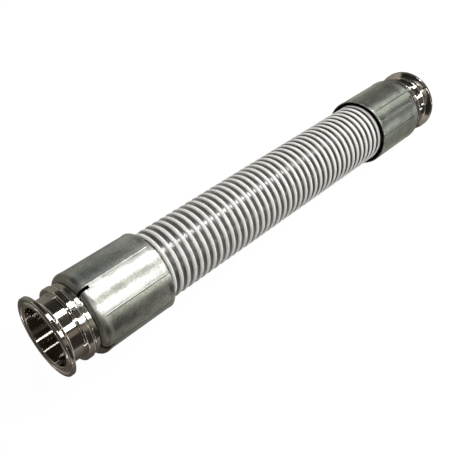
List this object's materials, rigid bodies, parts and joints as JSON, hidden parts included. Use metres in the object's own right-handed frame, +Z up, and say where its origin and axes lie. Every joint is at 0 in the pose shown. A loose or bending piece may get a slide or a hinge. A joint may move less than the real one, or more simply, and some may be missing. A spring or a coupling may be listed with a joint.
{
  "type": "food grade hose",
  "caption": "Straight food hose with a smooth bore and a spiral bead round its wall, and a sanitary clamp stem crimped into each end under a slotted ferrule.",
  "frame": {"origin": "on the surface that the hose lies on, under the middle of its length", "axes": "+X runs along the hose from the front end to the rear end, +Z is up"},
  "size_m": [0.461, 0.066, 0.066],
  "materials": {
    "polished_stainless": "polished stainless steel",
    "satin_stainless": "satin rolled sheet steel",
    "flexible_wall": "smoky flexible food hose compound",
    "white_helix": "warm white rigid plastic"
  },
  "bodies": {
    "root": {"front_clamp_stem": "polished_stainless", "rear_clamp_stem": "polished_stainless", "front_crimp_ferrule": "satin_stainless", "rear_crimp_ferrule": "satin_stainless", "hose_wall": "flexible_wall", "reinforcing_helix": "white_helix"}
  },
  "joints": []
}
